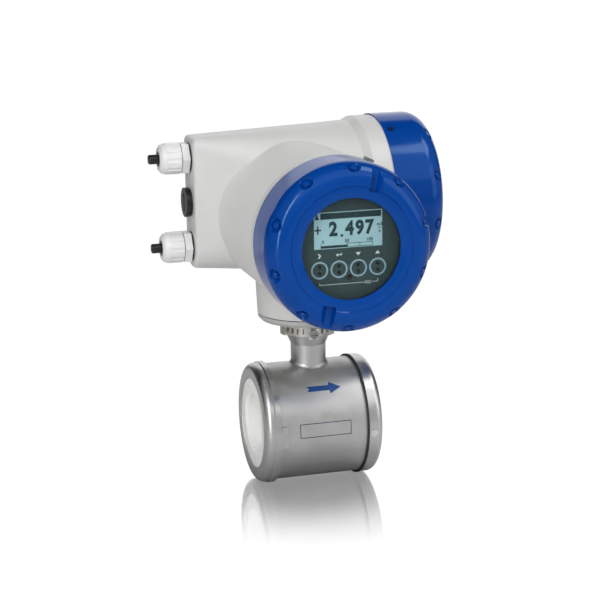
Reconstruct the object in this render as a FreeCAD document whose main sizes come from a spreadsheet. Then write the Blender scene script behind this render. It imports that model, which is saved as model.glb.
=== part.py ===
"""Electromagnetic flow meter, wafer pattern DN 50, with a turned-up signal converter.

Frame: the origin is the centre of the flow bore at mid length, +X is the flow
direction, +Z points up the neck to the converter and the display looks along -Y.
All sizes are in millimetres.
"""
import FreeCAD, Part
import math
import os
import re
import Sketcher
from FreeCAD import Placement, Rotation, Vector

doc = FreeCAD.newDocument("FlowMeter")

# ---------------------------------------------------------------- driving sizes
SIZES = [
    # sensor
    ("face_to_face", 103.0, "installed length of the sensor"),
    ("shell_radius", 50.2, "outside radius of the welded shell"),
    ("shell_wall", 3.0, "wall of the shell"),
    ("ring_radius", 51.5, "outside radius of the end rings"),
    ("ring_width", 13.0, "width of an end ring"),
    ("ring_round", 6.0, "rounding of the outer edge of an end ring"),
    ("ring_ridge", 0.9, "height of the ridge round the inlet ring"),
    ("ring_ridge_width", 5.5, "width of that ridge"),
    ("ring_lip", 1.2, "how far the ceramic stands behind the ring face"),
    ("ring_lip_slope", 1.0, "height of the slope behind that lip"),
    ("ring_groove", 0.5, "gap between ring and ceramic at the face"),
    ("ring_seal_width", 1.5, "thickness of the black ring seals"),
    ("ring_seal_stand", 1.9, "how far the outlet seal stands out of the shell"),
    ("ring_seal_wall", 1.3, "height of the inlet seal behind the shell's lip"),
    ("ceramic_radius", 38.5, "outside radius of the ceramic tube at its ends"),
    ("ceramic_waist", 31.5, "outside radius of the ceramic tube in the middle"),
    ("ceramic_shoulder", 34.0, "half length of the waist"),
    ("ceramic_slope", 4.0, "length of the slope down to the waist"),
    ("bore_radius", 25.0, "radius of the flow bore"),
    ("bore_mouth", 2.0, "chamfer at each mouth of the bore"),
    ("electrode_radius", 2.0, "radius of a measuring electrode"),
    ("electrode_head", 3.6, "radius of an electrode's contact"),
    ("electrode_stand", 4.0, "height of the contact outside the ceramic"),
    ("coil_inner", 8.5, "inside radius of a field coil"),
    ("coil_outer", 17.0, "outside radius of a field coil"),
    ("coil_gap", 0.3, "clearance round a coil"),
    ("yoke_wall", 1.5, "thickness of the field return band"),
    ("yoke_width", 26.0, "width of the field return band"),
    ("yoke_port", 3.0, "radius of the wire hole in the band"),
    ("plug_radius", 3.2, "radius of the round screw in the outlet ring"),
    ("plug_stand", 0.8, "how far that screw stands out"),
    ("plug_angle", 4.0, "its angle below the horizontal"),
    ("tab_length", 18.0, "height of the locating tab"),
    ("tab_width", 5.0, "width of the locating tab"),
    ("tab_stand", 0.9, "how far the tab stands out"),
    ("tab_inset", 0.3, "distance of the tab from the inlet ring"),
    # neck
    ("neck_radius", 15.1, "outside radius of the neck"),
    ("neck_wall", 2.3, "wall of the neck"),
    ("neck_weld", 3.6, "radius of the weld at the neck's foot"),
    ("neck_cone_foot", 67.5, "height where the neck starts to widen"),
    ("neck_cone_head", 76.6, "height where the neck flange starts"),
    ("neck_flange_radius", 19.6, "radius of the flange on the neck"),
    ("neck_flange_step", 0.6, "step under the flange on the neck"),
    ("neck_top", 79.2, "height of the top of the neck"),
    ("crown_core", 20.8, "radius of the ribbed ring between its ribs"),
    ("crown_radius", 23.4, "radius of the ribbed ring over its ribs"),
    ("crown_height", 7.2, "height of the ribbed ring"),
    ("crown_rib", 2.6, "width of a rib"),
    ("crown_ribs", 28, "number of ribs"),
    ("crown_plate", 1.6, "thickness of the plate above the ribs"),
    ("crown_lip", 0.6, "how far that plate stands over the ribs"),
    ("crown_lugs", 3, "number of lugs on the ribbed ring"),
    ("crown_lug_width", 8.0, "width of a lug"),
    ("crown_lug_stand", 1.0, "how far a lug stands over the ribs"),
    ("crown_lug_drop", 2.0, "how far a lug hangs below the ribs"),
    ("crown_lug_first", -50.0, "angle of the first lug"),
    ("crown_root", 1.0, "how deep ribs and lugs root in the ring"),
    ("earth_angle", -4.5, "turn of the earth terminal from the front"),
    ("earth_screw_radius", 4.0, "radius of the earth screw's head"),
    ("earth_screw_head", 2.6, "height of the earth screw's head"),
    ("earth_screw_slot", 1.6, "width of the cross recess"),
    ("earth_screw_reach", 2.6, "reach of the cross recess"),
    ("earth_screw_deep", 1.8, "depth of the cross recess"),
    ("earth_lug_width", 8.0, "width of the earth clamp"),
    ("earth_lug_height", 9.0, "height of the earth clamp"),
    ("earth_lug_plate", 1.6, "thickness of the earth clamp"),
    # base
    ("base_foot_radius", 25.0, "radius of the base plate at its foot"),
    ("base_radius", 42.6, "largest radius of the base plate"),
    ("base_flare", 3.6, "height of the flare of the base plate"),
    ("base_edge", 5.4, "height of the edge of the base plate"),
    ("base_bend", 2.6, "slope under the edge of the base plate"),
    ("base_port", 11.0, "radius of the wire port through the base"),
    ("gasket_thick", 0.8, "thickness of the base gasket"),
    ("gasket_inset", 0.7, "how far the gasket lies inside the base edge"),
    ("foot_radius", 43.0, "radius of the converter foot at the gasket"),
    ("foot_draft", 1.4, "how much wider the foot is at its head"),
    ("foot_height", 34.0, "height of the converter foot"),
    ("foot_cap", 8.0, "height of the cone on the converter foot"),
    # converter body
    ("terminal_height", 193.2, "height of the terminal cover's axis"),
    ("display_height", 173.0, "height of the display cover's axis"),
    ("end_reach", 100.0, "distance of the cable end face from the neck"),
    ("end_half_width", 18.0, "half width of the cable end face"),
    ("end_top", 57.3, "end face above the terminal axis"),
    ("end_bottom", 52.5, "end face below the terminal axis"),
    ("end_round_top", 6.0, "upper corner radius of the end face"),
    ("end_round_bottom", 17.0, "lower corner radius of the end face"),
    ("end_edge", 3.0, "rounding of the edge of the end face"),
    ("waist_radius", 64.0, "radius of the body where the collar starts"),
    ("waist_reach", 35.0, "distance of that place from the neck"),
    ("collar_radius", 67.4, "radius of both cover collars"),
    ("collar_reach", 41.6, "distance where the terminal collar is full"),
    ("terminal_seam", 57.9, "distance of the terminal cover's seam"),
    ("drum_radius", 66.0, "radius of the display drum"),
    ("drum_shift", 20.8, "sideways shift of the drum's root"),
    ("drum_lift", 13.0, "upward shift of the drum's root"),
    ("drum_root_radius", 62.0, "radius of the drum's root"),
    ("drum_root", 22.0, "depth of the drum's root before the neck axis"),
    ("drum_head", 68.0, "depth of the drum's head"),
    ("collar_start", 72.0, "depth where the display collar is full"),
    ("display_seam", 82.8, "depth of the display cover's seam"),
    ("thread_bore", 61.0, "radius of the threaded bores for the covers"),
    ("thread_depth", 15.0, "depth of those bores"),
    ("unit_bore", 39.0, "radius of the electronics bore"),
    ("unit_bore_end", 40.0, "depth at which the electronics bore ends"),
    ("chamber_half_width", 32.0, "half width of the terminal chamber"),
    ("chamber_end_half", 15.5, "half width of the chamber behind the entries"),
    ("chamber_step", 30.0, "distance where the chamber starts to narrow"),
    ("chamber_top", 49.0, "terminal chamber above the terminal axis"),
    ("chamber_bottom", 44.0, "terminal chamber below the terminal axis"),
    ("chamber_round", 10.0, "corner radius of the terminal chamber"),
    ("end_wall", 8.0, "thickness of the cable end wall"),
    ("wire_port", 8.0, "radius of the wire port between the chambers"),
    ("wire_port_lift", 14.0, "wire port above the display axis"),
    ("cut_over", 1.0, "how far a cut runs past a face"),
    ("entry_pitch", 37.2, "distance between cable entries"),
    ("entry_lift", 2.9, "middle entry above the terminal axis"),
    ("entry_radius", 10.1, "radius of a cable entry"),
    # covers
    ("cover_radius", 68.4, "outside radius of a cover"),
    ("cover_depth", 46.0, "depth of the display cover from seam to face"),
    ("blind_depth", 44.3, "depth of the terminal cover from seam to face"),
    ("cover_relief", 0.6, "clearance of the drum round the terminal cover"),
    ("cover_round", 15.0, "rounding of a cover's rim"),
    ("cover_cavity", 55.5, "inside radius of a cover"),
    ("cover_cavity_end", 36.0, "depth of the display cover's cavity"),
    ("blind_cavity_end", 30.0, "depth of the terminal cover's straight cavity"),
    ("blind_roof", 45.5, "inside radius of the terminal cover at its roof"),
    ("spigot_radius", 60.7, "radius of a cover's threaded spigot"),
    ("spigot_length", 14.0, "length of the threaded spigot"),
    ("face_inner", 50.5, "radius where the flat of the face ends"),
    ("face_step", 1.2, "height of the step in the face"),
    ("face_bevel", 1.0, "width of the slope at that step"),
    ("face_ledge", 45.6, "radius where the inner slope starts"),
    ("face_slope", 1.3, "drop of the inner slope"),
    ("window_radius", 40.6, "radius of the clear window"),
    ("lip_thick", 2.0, "thickness of the lip before the glass"),
    ("glass_radius", 46.2, "radius of the window glass"),
    ("glass_thick", 5.0, "thickness of the window glass"),
    ("glass_gasket", 0.5, "thickness of the window gasket"),
    ("gasket_lip", 1.0, "inner edge of the window gasket behind the lip"),
    ("glass_ring", 2.0, "thickness of the ring that holds the glass"),
    ("glass_clear", 0.2, "clearance round the glass"),
    ("glass_ring_clear", 0.8, "clearance of that ring round the display plate"),
    ("boss_wall", 4.0, "wall of the boss round the glass"),
    ("blind_wall", 6.0, "thickness of the blind cover's face"),
    ("oring_section", 1.2, "half thickness of a cover O-ring"),
    ("oring_clear", 0.3, "clearance round a cover O-ring"),
    ("oring_land", 0.4, "distance of the O-ring groove from the seam"),
    ("grip_count", 10, "number of grip knobs on a cover"),
    ("grip_circle", 65.0, "radius of the circle of grip knobs"),
    ("grip_first", 15.5, "angle of the first grip knob"),
    ("grip_pocket", 6.2, "radius of the dimple round a knob"),
    ("grip_floor_radius", 3.6, "radius of the dimple's floor"),
    ("grip_floor", 3.2, "depth of the dimple"),
    ("grip_knob", 2.6, "radius of a knob"),
    ("grip_top", 0.5, "depth of a knob's top"),
    ("grip_soft", 0.8, "rounding of a knob's top"),
    ("grip_over", 2.5, "height of the cut above the rim"),
    ("slot_angle", 77.0, "direction of the tool slots"),
    ("slot_inner", 47.2, "inner end of a tool slot"),
    ("slot_length", 25.0, "length of the cut of a tool slot"),
    ("slot_shift", 3.1, "distance of a slot's steep side from the middle"),
    ("slot_width", 6.7, "width of a slot's floor"),
    ("slot_run", 4.8, "width of a slot's sloping side"),
    ("slot_depth", 5.5, "depth of a tool slot"),
    ("lock_radius", 2.6, "radius of the terminal cover's lock screw"),
    ("lock_angle", 30.0, "angle of the lock screw towards the display side"),
    ("lock_offset", 6.5, "distance of the lock screw from the seam"),
    ("lock_depth", 5.0, "length of the lock screw"),
    ("lock_stand", 0.6, "how far the lock screw stands out"),
    ("claw_length", 9.0, "length of the display cover's lock claw"),
    ("claw_inset", 0.5, "distance of the claw from the cover"),
    ("claw_width", 6.0, "width of the lock claw"),
    ("claw_height", 3.0, "height of the lock claw above the collar"),
    ("claw_angle", 64.0, "angle of the lock claw"),
    # display insert
    ("insert_radius", 53.5, "radius of the electronics insert"),
    ("insert_neck", 38.0, "radius of the insert's rear part"),
    ("insert_front", 31.0, "front of the insert before the seam"),
    ("insert_end_clear", 2.0, "room behind the insert"),
    ("plate_radius", 42.0, "radius of the display plate"),
    ("plate_front", 34.5, "front of the display plate before the seam"),
    ("lcd_width", 56.0, "width of the display panel"),
    ("lcd_height", 29.0, "height of the display panel"),
    ("lcd_lift", 14.3, "display panel above the display axis"),
    ("lcd_recess", 0.8, "depth of the panel's recess"),
    ("lcd_sink", 0.1, "how far the panel lies below the plate"),
    ("lcd_panel_clear", 0.2, "clearance of the panel in its recess"),
    ("key_radius", 7.0, "outside radius of a key ring"),
    ("key_ring_wall", 1.3, "wall of a key ring"),
    ("key_pitch", 16.0, "distance between keys"),
    ("key_drop", 17.0, "keys below the display axis"),
    ("key_count", 4, "number of keys"),
    ("key_stand", 0.4, "height of a key ring above the plate"),
    ("eye_radius", 1.5, "radius of an optical eye"),
    ("eye_pitch", 5.2, "distance between the two eyes of a key"),
    ("eye_deep", 1.2, "depth of the seat of an optical eye"),
    ("eye_stand", 0.2, "how far an optical eye stands out"),
    ("light_eye_radius", 2.25, "radius of the single eye between the keys"),
    ("light_eye_drop", 7.0, "single eye below the keys"),
    ("light_eye_side", 0.6, "single eye from the middle"),
    # terminals
    ("board_thick", 2.0, "thickness of the terminal board"),
    ("board_clear", 1.5, "clearance of the board's corners in the cover"),
    ("board_low", -8.0, "lower edge of the board from the terminal axis"),
    ("board_height", 50.0, "height of the terminal board"),
    ("block_width", 12.0, "width of a terminal block"),
    ("block_height", 13.0, "height of a terminal block"),
    ("block_length", 46.0, "length of a terminal block"),
    ("block_offset", 17.0, "terminal blocks from the middle"),
    ("clamp_radius", 2.6, "radius of a clamp screw"),
    ("clamp_pitch", 8.0, "distance between clamp screws"),
    ("clamp_count", 5, "clamp screws of a block"),
    ("clamp_stand", 0.8, "height of a clamp screw above its block"),
    # cable glands
    ("thread_radius", 9.8, "radius of the entry threads"),
    ("gland_washer", 1.5, "thickness of the gland washer"),
    ("gland_washer_radius", 12.2, "radius of the gland washer"),
    ("gland_flats", 24.0, "width across flats of the gland body"),
    ("gland_flange", 6.0, "length of the gland body's hexagon"),
    ("gland_spigot", 7.6, "length of the gland's entry thread"),
    ("gland_stem", 10.2, "radius of the gland's nut thread"),
    ("gland_stem_length", 9.0, "length of the gland's nut thread"),
    ("gland_bore", 6.6, "bore of the gland body"),
    ("nut_gap", 0.8, "gap between hexagon and nut"),
    ("nut_radius", 13.0, "outside radius of the dome nut"),
    ("nut_length", 17.5, "length of the dome nut"),
    ("nut_bore", 10.5, "bore of the dome nut"),
    ("nut_dome", 5.5, "height of the dome"),
    ("nut_soft", 1.2, "inset of the dome at its foot"),
    ("nut_slope", 3.4, "inset of the dome at its top"),
    ("nut_seat", 3.0, "height of the cone under the nut lip"),
    ("nut_mouth", 6.4, "radius of the dome's opening"),
    ("nut_lip", 2.4, "thickness of the dome at its opening"),
    ("nut_flutes", 10, "number of grip flutes on the nut"),
    ("flute_radius", 3.0, "radius of a grip flute"),
    ("flute_depth", 0.6, "depth of a grip flute"),
    ("insert_clear", 0.3, "clearance round the sealing insert"),
    ("insert_sink", 0.5, "how far the insert lies inside the nut"),
    ("insert_play", 0.4, "further room round the insert in the nut"),
    ("pin_radius", 4.0, "radius of the sealing pin"),
    ("pin_stand", 8.3, "how far the sealing pin stands out"),
    ("pin_inside", 12.0, "length of the sealing pin in the insert"),
    ("pin_clear", 0.05, "clearance of the sealing pin"),
    ("pin_round", 1.2, "rounding of the pin's end"),
    # blanking plug
    ("blank_radius", 12.3, "radius of the blanking plug's flange"),
    ("blank_thick", 3.4, "thickness of that flange"),
    ("blank_spigot", 7.4, "length of the plug's thread"),
    ("blank_seal", 0.8, "half thickness of the plug's O-ring"),
    ("blank_clear", 0.1, "clearance of that O-ring"),
    ("blank_groove", 0.6, "depth of its groove"),
    ("blank_slot", 3.0, "width of the screwdriver slot"),
    ("blank_slot_reach", 7.4, "half length of that slot"),
    ("blank_slot_depth", 1.4, "depth of the screwdriver slot"),
]

sheet = doc.addObject("Spreadsheet::Sheet", "Sizes")
for row, (alias, number, meaning) in enumerate(SIZES, start=1):
    sheet.set("A%d" % row, meaning)
    sheet.set("B%d" % row, str(number))
    sheet.setAlias("B%d" % row, alias)
doc.recompute()


def size(alias):
    """Number in the sheet behind an alias."""
    return float(getattr(sheet, alias))


def tied(text):
    """Expression text with every alias tied to the sheet."""
    names = {alias for alias, _, _ in SIZES}
    return re.sub(r"[a-z][a-z_]*", lambda m: "Sizes." * (m.group() in names) + m.group(), str(text))


# ---------------------------------------------------------------- building blocks
UPRIGHT = Rotation()
TO_FRONT = Rotation(Vector(1, 0, 0), 90)
TO_OUTLET = Rotation(Vector(0, 1, 0), Vector(0, 0, 1), Vector(1, 0, 0), "XYZ")
TO_INLET = Rotation(Vector(0, -1, 0), Vector(0, 0, 1), Vector(-1, 0, 0), "XYZ")


def new_body(name, turn=UPRIGHT, at=("0", "0", "0")):
    """Body whose own Z axis is turned and whose origin is tied to the sheet."""
    body = doc.addObject("PartDesign::Body", name)
    body.Label = name
    body.Placement = Placement(Vector(0, 0, 0), turn)
    for axis, text in zip("xyz", at):
        body.setExpression("Placement.Base." + axis, tied(text))
    return body


def new_sketch(body, role, height="0"):
    """Sketch on an origin plane of its own body, lifted along the plane's normal."""
    plane = [f for f in body.Origin.OriginFeatures if f.Role == role][0]
    sketch = body.newObject("Sketcher::SketchObject", body.Name + "_sketch")
    sketch.AttachmentSupport = (plane, [""])
    sketch.MapMode = "FlatFace"
    sketch.setExpression("AttachmentOffset.Base.z", tied(height))
    return sketch


def tie_point(sketch, geometry, position, text_x, text_y):
    """Fix one point of the sketch by its two distances from the sketch's origin."""
    for kind, text in (("DistanceX", text_x), ("DistanceY", text_y)):
        index = sketch.addConstraint(Sketcher.Constraint(kind, -1, 1, geometry, position, 1.0))
        sketch.setExpression("Constraints[%d]" % index, tied(text))


def outline(body, role, points, height="0"):
    """Closed outline through points given as pairs of expressions."""
    sketch = new_sketch(body, role, height)
    count = len(points)
    turns = [2 * math.pi * i / count for i in range(count)]
    ring = [Vector(math.cos(turn), math.sin(turn), 0) for turn in turns]
    for i in range(count):
        sketch.addGeometry(Part.LineSegment(ring[i], ring[(i + 1) % count]))
    for i in range(count):
        sketch.addConstraint(Sketcher.Constraint("Coincident", i, 2, (i + 1) % count, 1))
    for i, (text_x, text_y) in enumerate(points):
        tie_point(sketch, i, 1, text_x, text_y)
    return sketch


def circles(body, role, rings, height="0"):
    """Circles given as (x, y, radius) expressions."""
    sketch = new_sketch(body, role, height)
    for text_x, text_y, text_r in rings:
        g = sketch.addGeometry(Part.Circle(Vector(0, 0, 0), Vector(0, 0, 1), 1.0))
        tie_point(sketch, g, 3, text_x, text_y)
        index = sketch.addConstraint(Sketcher.Constraint("Radius", g, 1.0))
        sketch.setExpression("Constraints[%d]" % index, tied(text_r))
    return sketch


def rectangle(body, role, left, right, low, high, height="0"):
    """Rectangle between four expressions."""
    corners = [(left, low), (right, low), (right, high), (left, high)]
    return outline(body, role, corners, height)


def soft_rectangle(body, role, half, low, high, round_low, round_high, height="0"):
    """Rectangle with tangent arcs at its corners: half width, low, high and two radii."""
    sketch = new_sketch(body, role, height)
    reach, soft = 40.0, 10.0
    signs = ((-1, -1), (1, -1), (1, 1), (-1, 1))
    corners = [Vector(reach * x, reach * y, 0) for x, y in signs]
    for i, corner in enumerate(corners):
        centre = corner * ((reach - soft) / reach)
        start = math.pi * (1 + i / 2)
        circle = Part.Circle(centre, Vector(0, 0, 1), soft)
        sketch.addGeometry(Part.ArcOfCircle(circle, start, start + math.pi / 2))
    for i in range(4):
        along = (corners[(i + 1) % 4] - corners[i]) * (soft / (2 * reach))
        sketch.addGeometry(Part.LineSegment(corners[i] + along, corners[(i + 1) % 4] - along))
    for i in range(4):
        sketch.addConstraint(Sketcher.Constraint("Tangent", i, 2, 4 + i, 1))
        sketch.addConstraint(Sketcher.Constraint("Tangent", 4 + i, 2, (i + 1) % 4, 1))
        sketch.addConstraint(Sketcher.Constraint("Horizontal" if i % 2 == 0 else "Vertical", 4 + i))
    sides = [("DistanceY", low), ("DistanceX", half), ("DistanceY", high), ("DistanceX", "-(%s)" % half)]
    for i, (kind, text) in enumerate(sides):
        start = getattr(sketch.getPoint(4 + i, 1), kind[-1].lower())
        index = sketch.addConstraint(Sketcher.Constraint(kind, -1, 1, 4 + i, 1, start))
        sketch.setExpression("Constraints[%d]" % index, tied(text))
    for i, text in enumerate((round_low, round_low, round_high, round_high)):
        index = sketch.addConstraint(Sketcher.Constraint("Radius", i, soft))
        sketch.setExpression("Constraints[%d]" % index, tied(text))
    return sketch


def feature(body, kind, sketch=None):
    """New feature of a body on a sketch."""
    item = body.newObject("PartDesign::" + kind, body.Name + "_" + kind)
    if sketch is not None:
        item.Profile = sketch
    return item


def turned(body, sketch, kind="Revolution", axis="V_Axis"):
    """Full turn of a sketch about one of its own axes."""
    item = feature(body, kind, sketch)
    item.ReferenceAxis = (sketch, [axis])
    item.Angle = 360.0
    doc.recompute()
    return item


def padded(body, sketch, length, reverse=False, middle=False):
    """Pad of a sketch."""
    item = feature(body, "Pad", sketch)
    item.setExpression("Length", tied(length))
    item.Reversed = reverse
    item.Midplane = middle
    doc.recompute()
    return item


def cut(body, sketch, length, reverse=False, middle=False):
    """Pocket of a sketch; the volume has to fall."""
    doc.recompute()
    before = body.Shape.Volume
    item = feature(body, "Pocket", sketch)
    item.setExpression("Length", tied(length))
    item.Reversed = reverse
    item.Midplane = middle
    doc.recompute()
    if not body.Shape.Volume < before - 1e-3:
        raise ValueError("pocket in %s cuts nothing" % body.Label)
    return item


def lofted(body, first, second, kind="AdditiveLoft"):
    """Ruled loft between two sketches."""
    item = feature(body, kind, first)
    item.Sections = [second]
    item.Ruled = True
    doc.recompute()
    return item


def ring_pattern(body, features, count):
    """Copies of features round the body's own Z axis."""
    pattern = body.newObject("PartDesign::PolarPattern", body.Name + "_pattern")
    pattern.Originals = features
    axis = [f for f in body.Origin.OriginFeatures if f.Role == "Z_Axis"][0]
    pattern.Axis = (axis, [""])
    pattern.Angle = 360.0
    pattern.setExpression("Occurrences", tied(count))
    body.Tip = pattern
    doc.recompute()
    return pattern


def circle_edges(body, radius, height):
    """Names of the circular edges of that radius at that height of the body's own axis."""
    found = []
    inverse = body.Placement.inverse()
    for index, edge in enumerate(body.Shape.Edges, start=1):
        curve = edge.Curve
        if not isinstance(curve, Part.Circle):
            continue
        place = inverse.multVec(curve.Center)
        if abs(curve.Radius - radius) < 0.01 and abs(place.z - height) < 0.01:
            found.append("Edge%d" % index)
    return found


def soften(body, names, amount):
    """Fillet on edges given by their names."""
    if not names:
        raise ValueError("no edge to round on %s" % body.Label)
    tip = body.Tip
    item = body.newObject("PartDesign::Fillet", body.Name + "_Fillet")
    item.Base = (tip, names)
    item.setExpression("Radius", tied(amount))
    doc.recompute()
    return item


def rounded(body, radius, height, amount):
    """Fillet on the circular edge of a radius at a height."""
    return soften(body, circle_edges(body, radius, height), amount)


def spin(sketch, angle, axis=Vector(0, 0, 1)):
    """Turn a sketch about one axis of its own plane by an angle tied to the sheet."""
    sketch.AttachmentOffset = Placement(sketch.AttachmentOffset.Base, Rotation(axis, 1.0))
    sketch.setExpression("AttachmentOffset.Rotation.Angle", tied(angle))


def crossing_edges(body):
    """Edges where the neck meets the shell."""
    found = []
    for index, edge in enumerate(body.Shape.Edges, start=1):
        box = edge.BoundBox
        flat = isinstance(edge.Curve, (Part.Circle, Part.Line))
        if not flat and box.ZMin > 0 and box.XMax < 2 * size("neck_radius"):
            found.append("Edge%d" % index)
    return found


def end_edges(body):
    """Edges round the cable end face."""
    found = []
    for index, edge in enumerate(body.Shape.Edges, start=1):
        box = edge.BoundBox
        if abs(box.XMin + size("end_reach")) < 0.01 and abs(box.XMax + size("end_reach")) < 0.01:
            found.append("Edge%d" % index)
    return found


# ---------------------------------------------------------------- sensor
HALF = "face_to_face / 2"
SHELL_END = "face_to_face / 2 - ring_width"
SHELL_BORE = "shell_radius - shell_wall"
YOKE_INNER = "shell_radius - shell_wall - yoke_wall"


def make_sensor_housing():
    """Welded steel shell with its neck, the weld between them and the neck flange in one piece."""
    body = new_body("sensor_housing")
    end = SHELL_END + " - ring_seal_width"
    start = "-(%s)" % SHELL_END
    shell = rectangle(body, "XZ_Plane", start, end, "0", "shell_radius")
    turned(body, shell, axis="H_Axis")
    neck = outline(body, "XZ_Plane", [
        ("0", "0"), ("neck_radius", "0"), ("neck_radius", "neck_cone_foot"),
        ("neck_flange_radius - neck_flange_step", "neck_cone_head"), ("neck_flange_radius", "neck_cone_head"),
        ("neck_flange_radius", "neck_top"), ("0", "neck_top")])
    turned(body, neck)
    soften(body, crossing_edges(body), "neck_weld")
    bore = rectangle(body, "XZ_Plane", start, end, "0", SHELL_BORE)
    turned(body, bore, kind="Groove", axis="H_Axis")
    seat_end = start + " + ring_seal_width"
    seat = rectangle(body, "XZ_Plane", start, seat_end, "0", SHELL_BORE + " + ring_seal_wall")
    turned(body, seat, kind="Groove", axis="H_Axis")
    throat = circles(body, "XY_Plane", [("0", "0", "neck_radius - neck_wall")])
    cut(body, throat, "neck_top", reverse=True)
    return body


def make_end_ring(name, turn):
    """End ring with a rounded outer edge, seated on the shell and round the ceramic."""
    body = new_body(name, turn)
    lip = "ceramic_radius + ring_groove"
    ring = outline(body, "XZ_Plane", [
        ("ceramic_radius", SHELL_END), ("ring_radius", SHELL_END), ("ring_radius", HALF),
        (lip, HALF), (lip, HALF + " - ring_lip"), ("ceramic_radius", HALF + " - ring_lip - ring_lip_slope")])
    turned(body, ring)
    rounded(body, size("ring_radius"), size("face_to_face") / 2, "ring_round")
    if name == "inlet_ring":
        crest = "ring_radius + ring_ridge"
        top = SHELL_END + " + ring_ridge_width"
        ridge = outline(body, "XZ_Plane", [
            (lip, SHELL_END), (crest, SHELL_END),
            (crest, top + " - ring_ridge"), ("ring_radius", top), (lip, top)])
        turned(body, ridge)
    return body


def make_ring_seal(name, turn, outer):
    """Black seal between the shell and an end ring."""
    body = new_body(name, turn)
    seal = rectangle(body, "XZ_Plane", SHELL_BORE, outer, SHELL_END + " - ring_seal_width", SHELL_END)
    turned(body, seal)
    return body


def make_ceramic_tube():
    """Ceramic measuring tube with thick ends, a waist for the coils and chamfered mouths."""
    body = new_body("ceramic_tube")
    face = HALF + " - ring_lip"
    mouth = "bore_radius + bore_mouth"
    tube = outline(body, "XZ_Plane", [
        ("-(%s)" % face, mouth), ("-(%s) + bore_mouth" % face, "bore_radius"),
        (face + " - bore_mouth", "bore_radius"), (face, mouth), (face, "ceramic_radius"),
        (SHELL_END + " - ring_seal_width", "ceramic_radius"),
        ("ceramic_shoulder - ceramic_slope", "ceramic_waist"),
        ("ceramic_slope - ceramic_shoulder", "ceramic_waist"),
        ("-(%s - ring_seal_width)" % SHELL_END, "ceramic_radius"), ("-(%s)" % face, "ceramic_radius")])
    turned(body, tube, axis="H_Axis")
    pins = circles(body, "XZ_Plane", [("0", "0", "electrode_radius")])
    cut(body, pins, "4 * ceramic_waist", middle=True)
    return body


def make_electrode(name, turn):
    """Measuring electrode fused into the ceramic with its contact outside."""
    body = new_body(name, turn)
    tip = "sqrt(bore_radius * bore_radius - electrode_radius * electrode_radius)"
    top = "ceramic_waist + electrode_stand"
    pin = outline(body, "XZ_Plane", [
        ("0", tip), ("electrode_radius", tip), ("electrode_radius", "ceramic_waist"),
        ("electrode_head", "ceramic_waist"), ("electrode_head", top), ("0", top)])
    turned(body, pin)
    return body


def make_coil(name, turn):
    """Field coil round its core, between the ceramic waist and the return band."""
    body = new_body(name, turn)
    low = "ceramic_waist + coil_gap"
    high = "sqrt((%s - coil_gap)^2 - coil_outer^2)" % YOKE_INNER
    coil = rectangle(body, "XZ_Plane", "coil_inner", "coil_outer", low, high)
    turned(body, coil)
    return body


def make_core(name, turn):
    """Pole core between the ceramic waist and the return band."""
    body = new_body(name, turn)
    radius = "coil_inner - coil_gap"
    head = "sqrt((%s)^2 - (%s)^2)" % (YOKE_INNER, radius)
    core = rectangle(body, "XZ_Plane", "yoke_port", radius, "ceramic_waist", head)
    turned(body, core)
    return body


def make_yoke():
    """Field return band inside the shell."""
    body = new_body("field_yoke")
    half = "yoke_width / 2"
    band = rectangle(body, "XZ_Plane", "-(%s)" % half, half, YOKE_INNER, SHELL_BORE)
    turned(body, band, axis="H_Axis")
    port = circles(body, "XY_Plane", [("0", "0", "yoke_port")])
    cut(body, port, "shell_radius", reverse=True)
    return body


def make_ring_screw():
    """Small round screw in the side of the outlet ring."""
    turn = Rotation(Vector(1, 0, 0), 90 + size("plug_angle"))
    body = new_body("ring_screw", turn)
    middle = "(%s + ring_width / 3)" % SHELL_END
    screw = circles(body, "XY_Plane", [(middle, "0", "plug_radius")], "ring_radius - plug_stand")
    padded(body, screw, "2 * plug_stand")
    seat = circles(body, "YZ_Plane", [("0", "0", "ring_radius")], SHELL_END)
    cut(body, seat, "ring_width", reverse=True)
    return body


def make_locating_tab():
    """Narrow tab welded on the shell beside the inlet ring."""
    body = new_body("locating_tab")
    left = "-(%s) + tab_inset" % SHELL_END
    half = "tab_length / 2"
    outer = "shell_radius + tab_stand"
    plate = rectangle(body, "YZ_Plane", "-(%s)" % outer, "-shell_radius / 2", "-(%s)" % half, half, left)
    padded(body, plate, "tab_width")
    hollow = circles(body, "YZ_Plane", [("0", "0", "shell_radius")], left)
    cut(body, hollow, "tab_width", reverse=True)
    return body


# ---------------------------------------------------------------- neck head and base
CROWN_TOP = "neck_top + crown_height"
BASE_TOP = "neck_top + crown_height + base_flare + base_edge"
FOOT_LOW = BASE_TOP + " + gasket_thick"


def make_crown():
    """Ribbed ring between neck and base plate."""
    body = new_body("neck_crown")
    plate_low = CROWN_TOP + " - crown_plate"
    ring = outline(body, "XZ_Plane", [
        ("neck_radius - neck_wall", "neck_top"), ("crown_core", "neck_top"),
        ("crown_core", plate_low), ("crown_radius + crown_lip", plate_low),
        ("crown_radius + crown_lip", CROWN_TOP), ("neck_radius - neck_wall", CROWN_TOP)])
    turned(body, ring)
    half = "crown_rib / 2"
    root = "crown_core - crown_root"
    rib = rectangle(body, "XY_Plane", root, "crown_radius", "-(%s)" % half, half, "neck_top")
    spin(rib, "earth_angle")
    pad = padded(body, rib, "crown_height - crown_plate / 2")
    ring_pattern(body, [pad], "crown_ribs")
    half = "crown_lug_width / 2"
    lug = rectangle(
        body, "XY_Plane", root, "crown_radius + crown_lug_stand", "-(%s)" % half, half,
        "neck_top - crown_lug_drop")
    spin(lug, "crown_lug_first")
    pad = padded(body, lug, "crown_height - crown_plate / 2 + crown_lug_drop")
    ring_pattern(body, [pad], "crown_lugs")
    return body


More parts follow.
